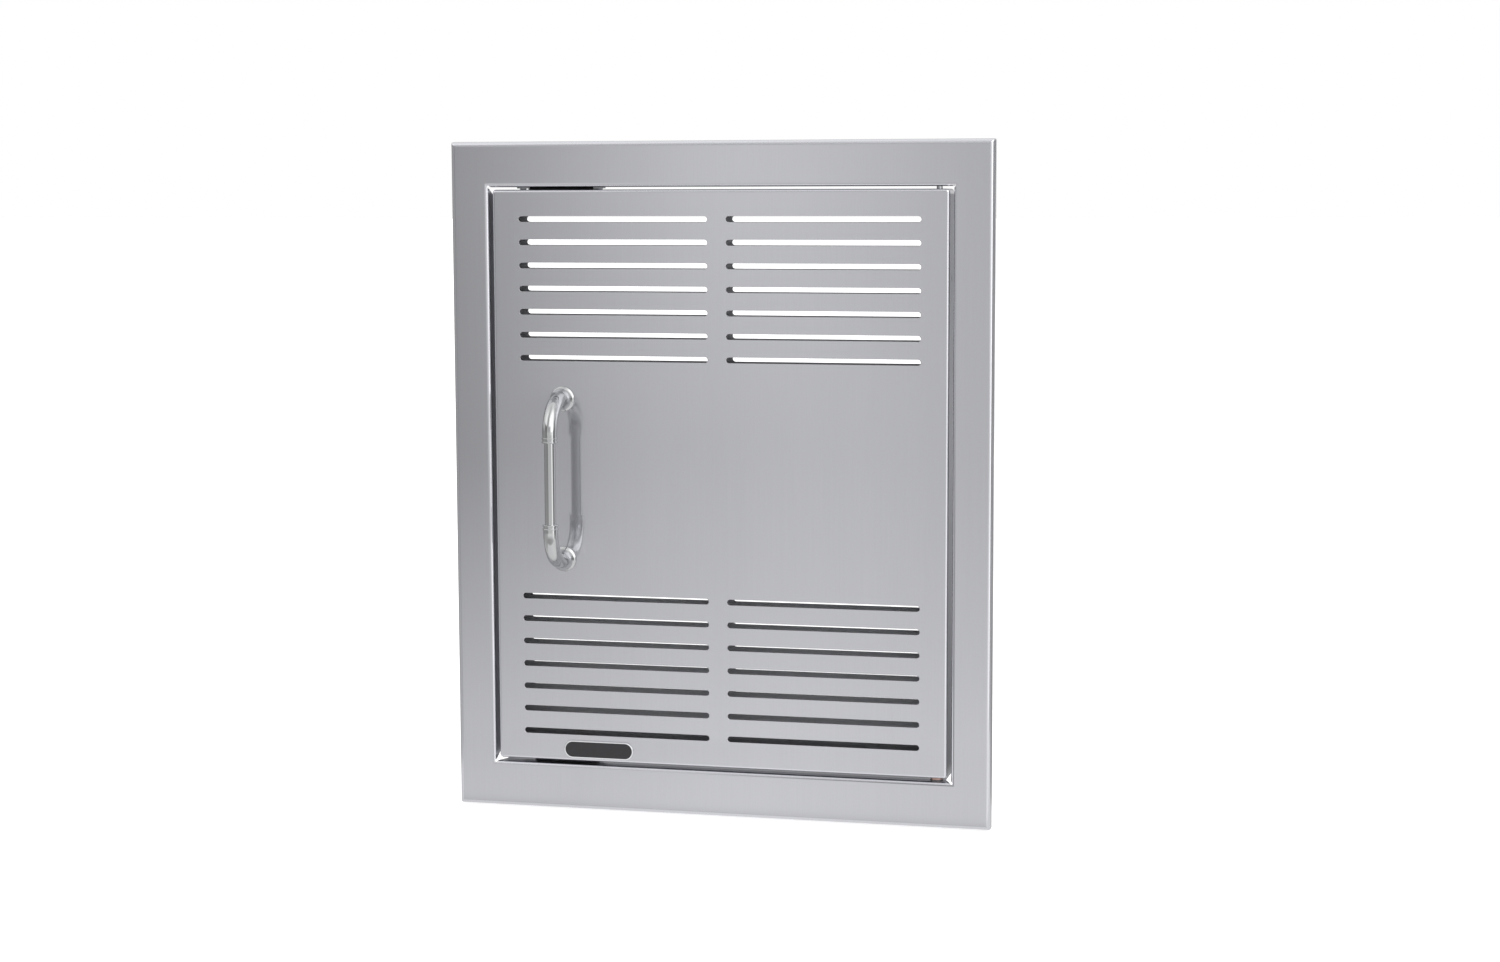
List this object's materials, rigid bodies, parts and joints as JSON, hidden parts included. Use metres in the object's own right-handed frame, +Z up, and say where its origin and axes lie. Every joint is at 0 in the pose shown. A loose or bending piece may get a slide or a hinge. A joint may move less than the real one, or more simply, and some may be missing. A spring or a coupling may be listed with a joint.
{
  "type": "vented access door for a barbecue island",
  "caption": "Framed stainless access door with a vented double-wall leaf on a fixed and a sprung pivot pin, magnetic catches and a chrome D-pull, for a cut-out in an outdoor kitchen.",
  "frame": {"origin": "middle of the frame's bottom edge, on the plane of the wall that the frame's outer return seats against", "axes": "+X to the right seen from in front, +Y into the island, away from the viewer, +Z up"},
  "size_m": [0.4752, 0.0957, 0.5845],
  "materials": {
    "frame_steel": "brushed stainless, fine vertical grain",
    "leaf_steel": "brushed stainless, fine vertical grain, satin with soft reflections",
    "liner_steel": "mill-finish stainless, dull",
    "polished_chrome": "polished plate",
    "badge_metal": "bright plated rim",
    "badge_enamel": "dark grey enamel, semi-gloss",
    "zinc_steel": "bright zinc plate",
    "pin_steel": "ground stainless rod",
    "spring_steel": "spring-drawn stainless",
    "bronze": "sintered bronze, dull pinkish brown",
    "bush_polymer": "moulded acetal, satin",
    "catch_plastic": "moulded nylon, fine texture",
    "catch_aluminium": "mill-finish strip",
    "ferrite": "sintered ferrite, matt",
    "rivet_aluminium": "plain",
    "knob_aluminium": "turned, satin"
  },
  "bodies": {
    "frame": {"face_frame": "frame_steel", "upper_pivot_bush": "bush_polymer", "lower_pivot_bush": "bush_polymer", "upper_catch_saddle": "catch_aluminium", "upper_catch_block": "catch_plastic", "upper_catch_magnet": "ferrite", "upper_catch_poles": "zinc_steel", "upper_catch_screws": "zinc_steel", "lower_catch_saddle": "catch_aluminium", "lower_catch_block": "catch_plastic", "lower_catch_magnet": "ferrite", "lower_catch_poles": "zinc_steel", "lower_catch_screws": "zinc_steel"},
    "door": {"door_skin": "leaf_steel", "door_liner": "liner_steel", "handle_bar": "polished_chrome", "handle_elbow_upper": "polished_chrome", "handle_elbow_lower": "polished_chrome", "handle_collar_upper": "polished_chrome", "handle_collar_lower": "polished_chrome", "handle_screws": "zinc_steel", "handle_washers": "zinc_steel", "badge_plate": "badge_metal", "badge_field": "badge_enamel", "badge_clips": "spring_steel", "upper_strike_plate": "zinc_steel", "lower_strike_plate": "zinc_steel", "strike_rivets": "rivet_aluminium", "pin_guide_bracket": "zinc_steel", "lower_pivot_bracket": "zinc_steel", "lower_pivot_pin": "pin_steel", "thrust_washer": "bronze"},
    "pivot_pin": {"upper_pivot_pin": "pin_steel", "pin_clip": "spring_steel", "pin_spring": "spring_steel", "release_knob": "knob_aluminium"}
  },
  "joints": [
    {"name": "door_swing", "type": "hinge", "parent": "frame", "child": "door", "pos_m": [0.1903, -0.002, 0.0432], "axis": [0, 0, 1], "range_deg": [0, 110]},
    {"name": "pin_retract", "type": "slide", "parent": "door", "child": "pivot_pin", "axis": [0, 0, 1], "range_m": [-0.0095, 0], "stiffness_N_per_m": 600, "springref_m": 0.008, "deforming": ["pin_spring"]}
  ]
}
